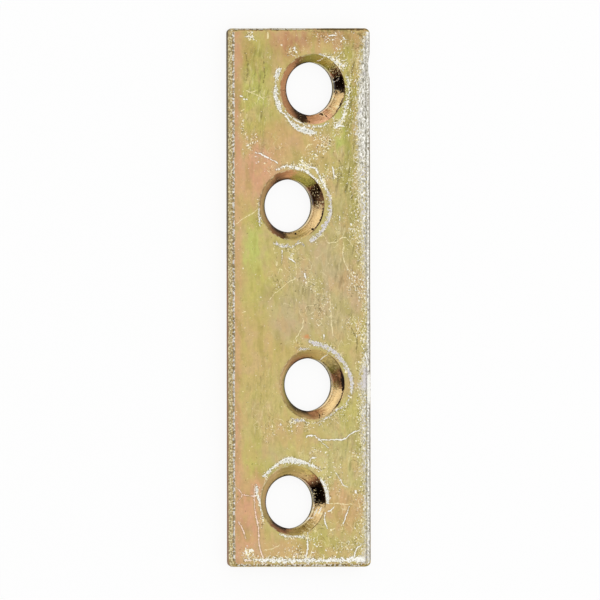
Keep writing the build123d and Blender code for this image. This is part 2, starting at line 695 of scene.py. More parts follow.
# Scratches through to bright metal: places x and y along each, and its half width.
bright_scratches = [
    [(-6.8, 29.1, 0.04), (-6.2, 29.15, 0.06), (-5.5, 28.7, 0.04)],
    [(3.3, 29.2, 0.08), (3.8, 29.25, 0.12), (4.2, 29.2, 0.06)],
    [(5.1, 29.1, 0.08), (5.3, 28.8, 0.08)],
    [(-0.8, 28.0, 0.12), (-0.7, 27.6, 0.06), (-0.5, 27.3, 0.1)],
    [(-7.4, 22.5, 0.06), (-7.0, 22.4, 0.08)],
    [(-7.0, 22.2, 0.07), (-6.5, 22.1, 0.06)],
    [(-5.5, 16.2, 0.05), (-4.8, 16.0, 0.09), (-4.2, 15.7, 0.1), (-3.4, 15.3, 0.05), (-2.8, 15.0, 0.1)],
    [(4.2, 19.0, 0.12), (4.6, 19.2, 0.15), (5.2, 19.1, 0.05)],
    [(3.8, 14.6, 0.08), (3.9, 13.9, 0.1), (4.0, 13.2, 0.06)],
    [(4.6, 9.1, 0.08), (4.6, 8.6, 0.06)],
    [(-2.3, 5.3, 0.07), (-2.3, 4.6, 0.05), (-2.4, 3.8, 0.04)],
    [(-1.5, 4.4, 0.08), (-1.0, 4.1, 0.1), (-0.7, 3.8, 0.05)],
    [(0.4, 2.7, 0.1), (0.5, 2.2, 0.08)],
    [(2.7, -4.1, 0.09), (2.7, -4.8, 0.04)],
    [(7.5, -5.6, 0.07), (7.8, -6.5, 0.09), (8.0, -7.6, 0.06)],
    [(7.0, -14.8, 0.07), (6.0, -15.2, 0.08), (5.0, -15.8, 0.09), (3.9, -15.9, 0.07)],
    [(3.9, -15.9, 0.07), (2.6, -15.9, 0.06), (2.0, -15.7, 0.05), (1.3, -15.4, 0.09),
     (0.5, -15.5, 0.09)],
    [(2.0, -15.8, 0.1), (2.6, -16.3, 0.05), (3.3, -16.8, 0.04)],
    [(0.9, -18.3, 0.05), (1.4, -17.9, 0.12), (1.8, -17.9, 0.05)],
    [(-7.9, -21.2, 0.05), (-7.3, -21.7, 0.06), (-7.15, -22.2, 0.05)],
    [(-7.15, -22.2, 0.05), (-7.9, -23.0, 0.05)],
    [(-7.2, -22.0, 0.05), (-5.5, -22.2, 0.06)],
    [(-5.7, -21.0, 0.05), (-5.7, -22.8, 0.05), (-5.5, -24.3, 0.06), (-5.2, -25.7, 0.07),
     (-5.1, -27.7, 0.07), (-4.6, -29.1, 0.08)],
    [(-7.7, -24.9, 0.05), (-7.2, -25.7, 0.09), (-6.7, -26.9, 0.05)],
    [(3.1, -23.9, 0.05), (3.5, -23.75, 0.1), (3.95, -23.4, 0.06)],
    [(5.7, -23.3, 0.05), (5.4, -24.2, 0.07), (5.0, -25.3, 0.06)],
    [(2.85, -24.0, 0.05), (2.75, -24.6, 0.08), (2.8, -25.1, 0.09), (3.1, -25.8, 0.07)],
    [(4.1, -19.5, 0.05), (4.6, -20.2, 0.04), (5.0, -20.9, 0.08), (5.6, -21.2, 0.08)],
    [(0.7, -26.2, 0.05), (0.7, -27.8, 0.1), (0.5, -29.2, 0.08)],
    [(6.5, -21.5, 0.14), (6.5, -21.9, 0.1)],
    [(7.5, -27.5, 0.06), (7.0, -27.7, 0.11), (6.5, -28.2, 0.06), (6.3, -29.0, 0.1)],
    [(-7.1, -29.0, 0.07), (-6.7, -29.4, 0.08), (-6.0, -29.3, 0.1)],
]

# Scratches that only thinned the colour.
faint_scratches = [
    [(-3.95, 29.6, 0.1), (-4.0, 28.85, 0.1)],
    [(-6.6, 23.1, 0.06), (-6.0, 22.9, 0.07), (-5.4, 23.1, 0.05)],
    [(-6.0, 22.8, 0.05), (-5.1, 22.5, 0.06), (-4.4, 22.1, 0.08)],
    [(-6.8, 21.1, 0.05), (-7.2, 20.8, 0.06), (-7.3, 20.2, 0.05)],
    [(0.5, 16.6, 0.05), (0.9, 17.0, 0.08), (1.5, 17.1, 0.05)],
    [(-7.8, 8.2, 0.04), (-7.0, 8.8, 0.06), (-5.9, 9.4, 0.05), (-5.2, 9.9, 0.06)],
    [(1.9, 6.5, 0.05), (2.6, 6.9, 0.06), (3.3, 6.1, 0.06), (4.2, 6.2, 0.05), (5.1, 6.7, 0.06),
     (5.6, 6.4, 0.05), (6.2, 5.7, 0.05)],
    [(5.1, 6.2, 0.04), (5.0, 5.0, 0.06), (5.2, 4.0, 0.07), (5.7, 3.1, 0.05), (6.2, 2.4, 0.07)],
    [(-3.3, 5.6, 0.05), (-3.2, 4.9, 0.05)],
    [(-0.65, 3.8, 0.05), (-0.6, 2.6, 0.06)],
    [(-0.3, 5.6, 0.05), (-0.8, 5.0, 0.05)],
    [(-0.7, 2.1, 0.05), (-1.6, 1.7, 0.06), (-2.2, 1.2, 0.06), (-3.1, 0.5, 0.05)],
    [(0.2, -2.3, 0.07), (0.2, -3.0, 0.06), (-0.1, -3.7, 0.05), (-0.8, -4.7, 0.06)],
    [(3.4, 0.4, 0.05), (3.55, -1.3, 0.06), (3.6, -2.6, 0.04), (3.7, -3.5, 0.07), (3.8, -4.3, 0.06)],
    [(-3.1, 0.6, 0.04), (-3.8, -0.2, 0.05)],
    [(-7.2, -1.7, 0.05), (-6.7, -1.6, 0.06)],
    [(6.3, -2.5, 0.07), (6.7, -2.9, 0.05), (7.3, -2.5, 0.06)],
    [(6.5, -7.2, 0.05), (6.5, -7.6, 0.06), (6.8, -8.2, 0.05)],
    [(3.2, -23.0, 0.05), (6.1, -23.1, 0.04)],
    [(4.0, -25.7, 0.05), (3.4, -26.1, 0.05)],
    [(1.4, -27.8, 0.06), (1.0, -28.9, 0.06)],
    [(1.9, -26.6, 0.05), (1.9, -27.2, 0.05)],
    [(6.8, -22.6, 0.05), (7.0, -23.5, 0.06)],
    [(-4.6, -28.2, 0.05), (-3.4, -28.0, 0.05), (-2.6, -27.6, 0.04)],
]

# Dark rubbed streaks.
dark_streaks = [
    [(6.5, 29.5, 0.05), (7.1, 29.3, 0.14), (7.6, 28.9, 0.12), (7.8, 28.4, 0.05)],
    [(0.6, 29.75, 0.04), (2.6, 29.65, 0.1), (4.6, 29.7, 0.06), (6.4, 29.6, 0.1)],
    [(5.7, -3.0, 0.05), (6.3, -4.0, 0.12), (6.7, -4.9, 0.12), (6.6, -6.1, 0.06)],
    [(4.6, 15.3, 0.06), (4.9, 14.7, 0.1), (5.3, 15.4, 0.05)],
    [(-3.2, 2.6, 0.05), (-2.7, 1.6, 0.07), (-2.4, 0.9, 0.04)],
    [(2.0, -0.2, 0.05), (2.2, -1.4, 0.1), (2.0, -2.2, 0.05)],
    [(-6.8, 27.6, 0.04), (-6.4, 25.4, 0.08), (-6.7, 23.9, 0.04)],
    [(-4.6, 27.0, 0.04), (-4.4, 25.0, 0.07), (-4.9, 23.0, 0.04)],
]

# Scrapes that run round the holes. Each hole has the angle that no scrape crosses, and
# its scrapes: angle in degrees, distance from the hole's axis and half width.
ring_scrapes = [
    (28, [
        [(33, 4.4, 0.06), (42, 4.25, 0.16), (50, 4.05, 0.1), (62, 4.0, 0.05), (79, 3.98, 0.08)],
        [(149, 4.6, 0.06), (153, 4.6, 0.26), (161, 4.54, 0.26), (168, 4.5, 0.08), (176, 4.46, 0.1),
         (185, 4.46, 0.28), (196, 4.5, 0.18), (205, 4.48, 0.32), (213, 4.56, 0.12), (220, 4.34, 0.08),
         (227, 4.4, 0.15), (237, 4.57, 0.2), (248, 4.67, 0.3), (259, 4.72, 0.32), (270, 4.81, 0.22),
         (276, 4.95, 0.06)],
        [(215, 4.1, 0.05), (244, 4.03, 0.07), (266, 4.2, 0.05), (286, 4.28, 0.08), (297, 4.25, 0.07)],
        [(302, 5.05, 0.14), (311, 4.9, 0.1), (319, 4.85, 0.12), (328, 4.6, 0.05), (336, 4.4, 0.14),
         (344, 4.44, 0.1), (356, 4.4, 0.05), (368, 4.33, 0.08), (380, 4.47, 0.06)],
    ]),
    (130, [
        [(299, 4.6, 0.2), (304, 4.62, 0.24), (312, 4.62, 0.16), (324, 4.6, 0.22), (339, 4.64, 0.22),
         (350, 4.68, 0.2), (362, 4.62, 0.18), (373, 4.58, 0.14), (385, 4.52, 0.1), (396, 4.54, 0.12),
         (407, 4.7, 0.1), (415, 4.95, 0.1), (424, 4.7, 0.1), (436, 4.66, 0.06)],
        [(398, 3.98, 0.12), (408, 3.98, 0.15), (417, 4.0, 0.14), (430, 4.13, 0.1), (441, 4.2, 0.12),
         (451, 4.3, 0.1), (460, 4.45, 0.1), (470, 4.35, 0.08), (476, 4.4, 0.06)],
        [(162, 3.85, 0.06), (178, 3.9, 0.08), (194, 4.12, 0.1), (205, 4.3, 0.12), (212, 4.45, 0.08)],
        [(242, 4.74, 0.06), (254, 4.73, 0.15), (261, 4.6, 0.12), (269, 4.7, 0.03), (280, 4.32, 0.1),
         (288, 4.75, 0.08)],
    ]),
    (160, [
        [(346, 4.82, 0.06), (352, 4.8, 0.12), (363, 4.77, 0.22), (375, 4.66, 0.22), (387, 4.51, 0.22),
         (402, 4.46, 0.25), (415, 4.47, 0.25), (426, 4.5, 0.22), (437, 4.55, 0.24), (447, 4.62, 0.25),
         (454, 4.78, 0.3)],
        [(281, 4.2, 0.05), (297, 4.13, 0.09), (312, 4.06, 0.07), (324, 4.44, 0.05), (335, 4.71, 0.06),
         (346, 4.64, 0.05)],
        [(236, 4.72, 0.08), (245, 4.46, 0.13), (256, 4.17, 0.1), (262, 4.4, 0.05)],
        [(454.5, 3.95, 0.06), (467, 4.17, 0.09), (476, 4.5, 0.05)],
    ]),
    (228, [
        [(405, 4.72, 0.05), (415, 4.58, 0.12), (427, 4.46, 0.15), (440, 4.39, 0.28), (451, 4.49, 0.33),
         (460, 4.57, 0.3), (472, 4.48, 0.16), (482, 4.36, 0.16), (494, 4.37, 0.17), (504, 4.46, 0.13)],
        [(518, 4.76, 0.1), (526, 4.55, 0.17), (533, 4.35, 0.16), (544, 4.0, 0.12), (558, 3.99, 0.1),
         (569, 4.14, 0.05)],
        [(355, 4.16, 0.14), (362, 4.13, 0.22), (372, 4.1, 0.25), (382, 4.08, 0.22), (392, 4.05, 0.14),
         (400, 4.02, 0.06)],
        [(245, 4.03, 0.06), (257, 4.11, 0.08), (269, 4.0, 0.06), (282, 4.15, 0.08), (294, 4.42, 0.07)],
    ]),
]

# The worn line along the bottom end, as places x, y and half width.
end_scrape = [
    (-6.9, -29.3, 0.05), (-5.6, -29.3, 0.12), (-4.6, -29.35, 0.2), (-3.6, -29.3, 0.24),
    (-2.5, -29.35, 0.28), (-1.2, -29.4, 0.2), (0.2, -29.35, 0.2), (1.2, -29.35, 0.26),
    (2.6, -29.4, 0.16), (3.8, -29.3, 0.26), (5.2, -29.3, 0.22), (6.4, -29.2, 0.3), (7.6, -29.2, 0.25),
]

# Where flecks lie thickly: x and y, radius along x and y, and how thickly.
fleck_fields = [
    (-6.25, 29.1, 0.5, 0.32, 1.3), (-6.4, -28.3, 0.42, 0.5, 2.2), (4.7, 25.7, 0.9, 0.9, 1.0),
    (3.3, 13.9, 0.6, 0.9, 0.6), (1.0, -26.6, 1.2, 0.8, 0.5), (2.8, 20.2, 1.1, 0.7, 0.6),
    (6.6, 24.0, 0.8, 5.0, 0.45), (5.6, 22.3, 0.9, 3.6, 0.55), (4.6, 26.3, 1.3, 0.9, 0.8),
    (4.8, 19.4, 1.4, 1.3, 0.8), (2.6, 18.3, 2.2, 0.7, 0.7), (3.4, 28.8, 2.8, 0.6, 0.6),
    (5.2, 27.9, 1.4, 1.0, 0.45), (-0.6, 27.4, 1.6, 0.9, 0.6), (6.3, 19.8, 1.2, 2.4, 0.6),
    (2.6, 17.2, 0.8, 1.8, 0.75), (1.2, 15.9, 1.4, 1.0, 0.6), (-7.0, 18.4, 0.5, 2.0, 0.7),
    (-6.4, 17.0, 0.8, 0.7, 0.6), (-5.0, 15.6, 0.9, 0.5, 0.5), (-3.4, 14.6, 1.2, 0.5, 0.4),
    (0.2, 14.6, 2.2, 0.55, 0.8), (3.0, 13.2, 0.9, 1.2, 0.75), (4.4, 14.0, 1.2, 1.0, 0.45),
    (6.5, 13.5, 1.1, 5.5, 0.45), (6.8, 8.0, 0.8, 4.0, 0.65), (5.2, 8.0, 1.6, 2.0, 0.3),
    (-1.4, 5.4, 1.6, 0.6, 0.55), (-0.6, 2.4, 1.8, 1.2, 0.35), (1.4, 2.0, 1.6, 1.2, 0.35),
    (2.6, -1.0, 1.6, 2.6, 0.4), (6.6, 1.4, 0.9, 1.4, 0.7), (6.2, -2.6, 1.0, 1.4, 0.6),
    (7.4, -4.0, 0.7, 1.8, 0.75), (-0.4, -5.3, 0.8, 0.7, 0.6), (-3.9, -14.6, 1.2, 1.2, 0.4),
    (-1.4, -14.4, 1.6, 0.5, 0.7), (1.8, -14.5, 1.4, 0.9, 0.55), (4.6, -13.4, 1.2, 0.7, 0.4),
    (7.2, -11.5, 0.5, 3.6, 0.8), (1.6, -17.4, 1.2, 0.9, 0.45), (7.0, -18.2, 0.7, 2.0, 0.55),
    (3.6, -20.0, 1.6, 2.4, 0.4), (6.8, -22.5, 0.7, 2.6, 0.4), (-4.9, -21.6, 0.45, 1.8, 0.9),
    (-4.6, -25.2, 0.4, 1.6, 0.6), (-2.9, -18.6, 1.2, 0.5, 0.6), (4.4, -26.2, 2.0, 0.7, 0.35),
    (6.8, -26.6, 0.7, 1.6, 0.5), (5.2, -28.0, 2.4, 0.7, 0.65), (0.2, -28.6, 5.0, 0.8, 0.65),
    (-1.4, -26.6, 1.6, 0.6, 0.55), (-6.2, -28.9, 1.4, 0.7, 0.6),
]

# Where hairlines cross the face, written as the fields above.
hair_fields = [
    (-0.6, 2.4, 3.4, 3.6, 1.0), (1.8, -1.6, 2.4, 2.4, 0.8), (-5.6, 22.4, 2.0, 1.2, 0.7),
    (4.6, 6.2, 2.6, 1.4, 0.6), (5.4, -4.6, 1.8, 3.0, 0.7), (-3.2, -14.4, 2.6, 1.4, 0.7),
    (3.8, -25.6, 3.6, 2.6, 0.9), (1.8, -17.4, 2.4, 1.4, 0.6), (-5.0, -13.4, 2.0, 2.4, 0.4),
    (-3.6, 16.4, 2.4, 1.6, 0.5),
]

# Where dark strokes run along the plate, written as the fields above.
stroke_fields = [
    (-5.4, 22.6, 1.8, 6.4, 0.9), (6.2, 24.0, 1.6, 6.0, 1.0), (5.6, 14.0, 2.2, 5.0, 1.0),
    (5.6, 5.0, 2.4, 6.0, 0.85), (1.0, 0.4, 3.0, 2.4, 0.55), (-4.6, -11.5, 1.8, 5.0, 0.6),
    (5.0, -3.0, 2.2, 3.0, 0.5), (5.6, -17.0, 2.2, 7.0, 0.7), (2.0, -17.6, 3.6, 2.0, 0.35),
]

# Where the bare zinc begins: y, and x as it lies there.
bare_edge = [
    (-30.0, 6.9), (-28.4, 7.3), (-26.0, 7.6), (-21.0, 7.55), (-17.5, 7.35), (-12.0, 7.2), (-8.0, 7.3),
    (-6.0, 7.75), (-4.0, 7.95), (-1.0, 7.85), (2.0, 7.6), (6.0, 7.35), (9.0, 7.15), (13.0, 6.9),
    (19.0, 6.8), (23.0, 6.95), (26.0, 7.2), (28.4, 7.55), (30.0, 8.0),
]

# How strongly the punch streaked each seat.
seat_roughness = (1.2, 0.3, 0.25, 1.0)

# The tarnish round each seat, with painted reflections: the near-black and dark brown patches are
# painted dark reflections, and the bronze and salmon bands painted reflections of light. Angle in
# degrees, colour by the mouth and by the bore.
seat_tarnish_and_reflections = [
    [(-176, "copper", "copper"), (-140, "copper", "umber"), (-126, "umber", "soot"),
     (-114, "soot", "soot"), (-99, "bark", "soot"), (-95, "copper", "copper"),
     (-84, "salmon", "copper"), (-55, "salmon", "salmon"), (-46, "bronze", "copper"),
     (-32, "bronze", "bronze"), (-8, "bronze", "bronze"), (-4, "soot", "soot"), (22, "soot", "soot"),
     (33, "umber", "umber"), (42, "straw", "khaki"), (100, "khaki", "khaki"), (118, "umber", "bark"),
     (130, "copper", "copper"), (176, "copper", "copper")],
    [(-176, "tan", "straw"), (-140, "straw", "umber"), (-127, "umber", "soot"), (-102, "bark", "soot"),
     (-92, "straw", "tan"), (-70, "gold", "gold"), (-40, "bronze", "bronze"), (-8, "bronze", "bronze"),
     (0, "umber", "bark"), (12, "umber", "soot"), (25, "soot", "bark"), (38, "bark", "umber"),
     (46, "khaki", "khaki"), (75, "straw", "khaki"), (92, "copper", "copper"), (116, "umber", "soot"),
     (135, "tan", "umber"), (176, "tan", "straw")],
    [(-176, "bronze", "khaki"), (-150, "gold", "khaki"), (-128, "straw", "soot"), (-96, "tan", "soot"),
     (-88, "umber", "umber"), (-72, "tan", "umber"), (-52, "bronze", "bronze"),
     (-10, "bronze", "bronze"), (-5, "umber", "straw"), (8, "bark", "umber"), (20, "umber", "umber"),
     (32, "straw", "khaki"), (46, "straw", "straw"), (75, "gold", "straw"), (110, "straw", "umber"),
     (130, "tan", "umber"), (155, "bronze", "straw"), (176, "bronze", "khaki")],
    [(-176, "gold", "tan"), (-142, "straw", "straw"), (-131, "umber", "soot"), (-104, "umber", "soot"),
     (-96, "straw", "umber"), (-78, "straw", "straw"), (-50, "gold", "gold"), (-34, "bronze", "bronze"),
     (-10, "bronze", "bronze"), (-6, "soot", "soot"), (28, "soot", "soot"), (42, "umber", "umber"),
     (52, "straw", "tan"), (90, "straw", "gold"), (104, "straw", "straw"), (126, "bronze", "gold"),
     (176, "gold", "tan")],
]

# Pits, bright scratches and dark cracks in the seats.
seat_pits = [
    [(2.6, 20.5, 0.08), (2.9, 20.4, 0.14)],
    [(3.1, 20.3, 0.09), (3.25, 20.2, 0.06)],
    [(4.66, -7.95, 0.04), (4.93, -8.71, 0.1), (5.04, -9.37, 0.16), (5.04, -10.03, 0.14),
     (5.0, -10.5, 0.06)],
    [(5.02, -10.5, 0.06), (4.82, -11.13, 0.05), (4.41, -11.9, 0.07), (3.73, -12.63, 0.03)],
    [(2.7, 9.98, 0.04), (2.49, 9.0, 0.07), (2.02, 8.11, 0.06), (1.59, 7.6, 0.03)],
    [(5.07, 22.26, 0.03), (4.69, 21.33, 0.06), (4.22, 20.69, 0.03)],
    [(1.3, 7.6, 0.1), (1.55, 7.6, 0.16)],
    [(-0.55, 7.1, 0.06), (-0.3, 7.1, 0.12)],
    [(2.0, -12.7, 0.03), (2.3, -13.1, 0.05), (2.1, -13.6, 0.03)],
]
seat_scratches = [
    [(1.4, -24.3, 0.03), (1.65, -23.8, 0.06), (1.9, -23.4, 0.03)],
    [(1.75, -24.4, 0.03), (2.0, -23.9, 0.06), (2.2, -23.5, 0.03)],
    [(2.15, -24.2, 0.03), (2.35, -23.8, 0.05), (2.5, -23.4, 0.03)],
    [(1.15, -24.9, 0.03), (1.4, -24.6, 0.05), (1.7, -24.6, 0.03)],
    [(2.55, -7.1, 0.03), (2.9, -6.6, 0.06), (3.2, -6.4, 0.04)],
    [(2.2, 26.4, 0.03), (2.55, 26.5, 0.06), (2.8, 26.9, 0.04)],
    [(4.3, 24.0, 0.04), (4.55, 24.2, 0.09), (4.75, 24.5, 0.04)],
]

# Where flecks shine in the dark patches of the seats, and where those are dull.
seat_sparks = [
    (2.5, 10.5, 0.5, 0.75, 1.0), (1.9, 11.8, 0.6, 0.7, 0.6), (4.3, 25.3, 0.7, 0.9, 0.7),
    (1.85, -22.3, 0.25, 1.1, 0.7), (4.0, -10.3, 0.8, 0.7, 0.6), (4.3, -7.4, 0.7, 0.8, 0.5),
]
seat_dull = [
    (4.1, -8.2, 1.6, 2.2, 0.5), (2.4, 10.4, 1.2, 1.4, 0.35), (4.9, 23.6, 1.0, 1.4, 0.15),
]


# ---------------------------------------------------------------------------
# The finish. Where the value that is remapped is a place or a depth, the numbers are in
# millimetres. Where it is a noise, they are parts of its span of 1.
# ---------------------------------------------------------------------------


def linear(part):
    """A colour part as screens show it, made linear."""
    return part / 12.92 if part <= 0.04045 else ((part + 0.055) / 1.055) ** 2.4


class Finish:
    """One material: its tree, its shader and the place on the plate in millimetres."""

    name = "finish"

    def __init__(self, colours):
        self.material = bpy.data.materials.new(self.name)
        self.material.use_nodes = True
        self.tree = self.material.node_tree
        self.shader = self.tree.nodes["Principled BSDF"]
        self.colours = colours
        coordinates = self.tree.nodes.new("ShaderNodeTexCoord")
        mapping = self.tree.nodes.new("ShaderNodeMapping")
        mapping.inputs["Scale"].default_value = (1 / MM,) * 3
        put(mapping.inputs["Vector"], Wire(coordinates.outputs["Object"]))
        self.place = Wire(mapping.outputs[0])
        self.x, self.y, self.z = parts_of(self.place)

    def colour(self, item):
        """A named colour, as the linear colour that shaders take. A wire stays as it is."""
        if isinstance(item, Wire):
            return item
        return (*(linear(part) for part in getattr(self.colours, item)), 1)

    def mix(self, share, first, second):
        """A mix of two colours. Each is a wire or the name of a colour."""
        node = self.tree.nodes.new("ShaderNodeMix")
        node.data_type = "RGBA"
        put(node.inputs[0], share)
        put(node.inputs[6], self.colour(first))
        put(node.inputs[7], self.colour(second))
        return Wire(node.outputs[2])

    def link(self, colour, roughness, metallic, height, depth):
        """Links the results to the shader. All but the depth of the bumps, which is in
        millimetres, may vary from place to place."""
        put(self.shader.inputs["Base Color"], colour)
        put(self.shader.inputs["Roughness"], roughness)
        put(self.shader.inputs["Metallic"], metallic)
        bump = self.tree.nodes.new("ShaderNodeBump")
        bump.inputs["Distance"].default_value = depth * MM
        put(bump.inputs["Height"], height)
        put(self.shader.inputs["Normal"], Wire(bump.outputs[0]))
        return self.material


class FaceFinish(Finish):
    """Yellow passivated zinc, clouded, smeared, scratched and worn bright at the rims."""

    name = "passivated_face"

    def __init__(self, colours):
        super().__init__(colours)
        place = self.place
        # The coating's streaks, patches, mottling and fine grain.
        self.streaks = swing(place, 5.0, 1, (1, 0.09, 1))
        self.patches = swing(place, 0.8, 2)
        self.mottle = swing(place, 2.4, 3)
        self.fine = swing(place, 7.0, 5, (1, 0.6, 1))
        # Places that wander, for the clouds and the fields.
        moved = shift(wobble(place, 0.35, 4), (2.4, 2.4, 0), place)
        self.moved = shift(wobble(place, 1.3, 9, (1, 0.4, 1), 4), (2.0, 4.5, 0), moved)
        # Crumbling, which frays scratches and breaks scrapes up.
        self.jitter = wobble(place, 3.0, 12)
        self.crumbled = shift(self.jitter, (0.5, 0.5, 0), place)
        self.coarse = swing(self.crumbled, 3.6, 17)
        self.crisp = swing(place, 7.5, 27, detail=1)
        self.ragged_x = self.x + swing(place, 2.2, 15) * 0.24
        self.ragged_y = self.y + swing(place, 2.2, 16) * 0.24
        # Where the coating is struck, where the zinc is bare, and how deep the scrapes are,
        # which are duller round the two middle holes.
        self.struck = spread(self.moved, stroke_fields)
        self.right = self.x - curve_of(self.y, bare_edge)
        self.scraped = self.scrapes()
        self.dulled = remap(abs(self.y + 1), 14.5, 12.5)

    def coat(self):
        """The coating's clouds, blotches, smears and strokes."""
        place, x, y, mix = self.place, self.x, self.y, self.mix
        colour = "olive"
        for name, *spot, strength in clouds:
            colour = mix(remap(oval(self.moved, *spot), 0.3, 1.4, strength, 0), colour, name)
        # The warm band beside the left rim.
        band = mix(remap(abs(y + 0.5), 15, 11, 0.1, 0.75), "pink", "tan")
        band = mix(remap(y, 12, 20, 0, 0.25), band, "umber")
        band_x = x + swing(place, 1.0, 34, (1, 0.4, 1))
        colour = mix(remap(band_x, -7.75, -6.75, 0.95, 0), colour, band)
        # Small blotches of rose and green, and smears.
        rosy = grain(place, 0.75, 35, (1, 0.7, 1), 3)
        colour = mix(remap(rosy, 0.5, 0.64, 0, 0.3), colour, "rose")
        greenish = grain(place, 0.75, 36, (1, 0.6, 1), 3)
        colour = mix(remap(greenish, 0.5, 0.64, 0, 0.28), colour, "green")
        smears = grain(leaning(place, -8), 1.0, 6, (1, 0.35, 1))
        colour = mix(remap(smears, 0.5, 0.66, 0, 0.3), colour, "khaki")
        colour = mix(remap(smears, 0.48, 0.34, 0, 0.35), colour, "tan")
        # Dark and light strokes.
        strokes = grain(leaning(place, 10), 2.6, 7, (1, 0.26, 1), 1.5)
        colour = mix(remap(strokes, 0.52, 0.72, 0, 0.5) * self.struck, colour, "dark")
        light_strokes = grain(leaning(place, 7), 3.0, 11, (1, 0.24, 1), 1.5)
        colour = mix(remap(light_strokes, 0.55, 0.72, 0, 0.4) * self.struck, colour, "cream")
        level = 0.958 + self.streaks * (0.1 + self.struck * 0.3) + self.patches * 0.22
        level = level + self.mottle * 0.26 + self.fine * (0.16 + self.struck * 0.35)
        return brighten(colour, level)

    def scrapes(self):
        """How deep a place lies in the scrapes round the holes and along the bottom end."""
        end_y = self.y + swing(self.place, 3.0, 18, (0.8, 1, 1), 3) * 0.8
        depths = [stroke(self.ragged_x, end_y, end_scrape) - 0.03]
        jag = self.coarse * 0.5
        for centre, drift, (seam, ring) in zip(hole_centres, mouth_drift, ring_scrapes):
            angle, distance = round_hole(self.x, self.y, centre + drift, seam)
            depths.extend(stroke(angle, distance + jag, points) for points in ring)
        return highest(depths)

    def rub(self):
        """How strongly a place was rubbed: in fields, at the right and near scrapes."""
        by_place = highest([spread(self.moved, fleck_fields), remap(self.right, -1.2, 0.1, 0, 0.8)])
        by_chance = remap(grain(self.place, 0.6, 21, detail=1), 0.38, 0.66, -0.05, 0.14)
        return by_place + by_chance + remap(self.scraped, -0.4, -0.05, 0, 0.45)

    def hairlines(self):
        """Bright and dark hairlines, which lie where a wandering value crosses its middle."""
        place = shift(self.jitter, (0.16, 0.16, 0), self.place)
        field = remap(grain(self.place, 0.9, 62), 0.47, 0.55) * spread(self.place, hair_fields)
        bright = remap(abs(swing(place, 0.9, 61, detail=1)), 0.014, 0.005) * field * 0.9
        dark = remap(abs(swing(place, 0.9, 64, detail=1)), 0.016, 0.005) * field * 0.55
        return bright, dark

    def bare_zinc(self):
        """Bare zinc along the right rim, streaked and pitted."""
        x, y, coarse, mix = self.x, self.y, self.coarse, self.mix
        bright = grain(self.crumbled, 6.4, 24, (1, 0.5, 1))
        colour = mix(remap(bright, 0.5, 0.56), "zinc", "scratch")
        dark = grain(self.crumbled, 5.6, 25, (1, 0.5, 1), 3)
        colour = mix(remap(dark, 0.52, 0.58, 0, 0.75), colour, "shade")
        colour = mix(remap(self.patches, 0.0, 0.1, 0, 0.5), colour, "lavender")
        left_over = remap(coarse + self.crisp * 0.8, 0.02, 0.1, 0, 0.8) * remap(y, 17, 13)
        colour = mix(left_over, colour, "olive")
        colour = mix(remap(abs(y + 9.0 + coarse * 2), 1.5, 0.9, 0, 0.8), colour, "lavender")
        edge_line = remap(abs(x + coarse * 0.3 - 7.82), 0.1, 0.03, 0, 0.65)
        return mix(edge_line, colour, "shade")

    def worn_metal(self, depth):
        """What a scrape shows: bright sides round a patchy middle, at a depth inside it."""
        y, crumbled, dulled, mix = self.y, self.crumbled, self.dulled, self.mix
        middle = mix(dulled, "mist", "lavender")
        clean = highest([remap(y, -28.3, -28.8), remap(abs(y - 14), 2.5, 1.5)])
        middle = mix(clean, middle, "scratch")
        patchy = swing(crumbled, 4.6, 28)
        inner = depth + patchy * 2.0 + dulled * 0.1
        colour = mix(remap(inner, 0.08, 0.28), "scratch", middle)
        colour = mix(remap(patchy - dulled * 0.03, -0.07, -0.14, 0, 0.8), colour, "moss")
        dark = grain(crumbled, 5.2, 29)
        colour = mix(remap(dark, 0.59, 0.65, 0, 0.6), colour, "dark")
        return brighten(colour, 1.02 + self.crisp * 0.6)

    def build(self):
        """Lays the wear over the coating, one kind over the other."""
        x, y, coarse, crisp, mix = self.x, self.y, self.coarse, self.crisp, self.mix
        rubbed = self.rub()
        away, pick, size = cells(self.crumbled, 1.7, 3, (1, 1, 0))
        pit_share = remap(0.14 - away, -0.05, 0.06) * remap(pick, 0.86, 0.88) * 0.55
        colour = mix(pit_share, self.coat(), "dark")
        # Dark rims beside scratches and scrapes, dark streaks and dark crumbs.
        lines = deepest(self.ragged_x, self.ragged_y, bright_scratches)
        halo = highest([remap(lines, -0.16, -0.02), remap(self.scraped, -0.2, 0.0)]) * 0.3
        colour = mix(halo, colour, "dark")
        dark = deepest(self.ragged_x, self.ragged_y, dark_streaks)
        dark_share = remap(dark + coarse * 0.6 + crisp * 0.4, -0.03, 0.09) * 0.6
        colour = mix(dark_share, colour, "dark")
        dark_crumbs = crumbs(self.crumbled, 6.0, 14, rubbed, (1, 0.7, 1)) * 0.55
        colour = mix(dark_crumbs, colour, "dark")
        hair, dark_hair = self.hairlines()
        colour = mix(dark_hair, colour, "dark")
        # Faint scratches, and crumbs and flecks of bright metal.
        faint = deepest(self.ragged_x, self.ragged_y, faint_scratches)
        faint_share = remap(faint + coarse * 0.22 + crisp * 0.16, -0.02, 0.04) * 0.75
        colour = mix(highest([faint_share, hair]), colour, "cream")
        fleck_colour = mix(remap(coarse, -0.05, 0.08), "cream", "scratch")
        crumb_share = crumbs(self.crumbled, 6.6, 13, rubbed, (1, 0.85, 1))
        colour = mix(crumb_share * 0.95, colour, fleck_colour)
        picked = remap(rubbed * 0.5 + 0.02 - pick, 0.0, 0.06)
        colour = mix(remap((size * 0.2 + 0.05) - away, -0.04, 0.04) * picked, colour, fleck_colour)
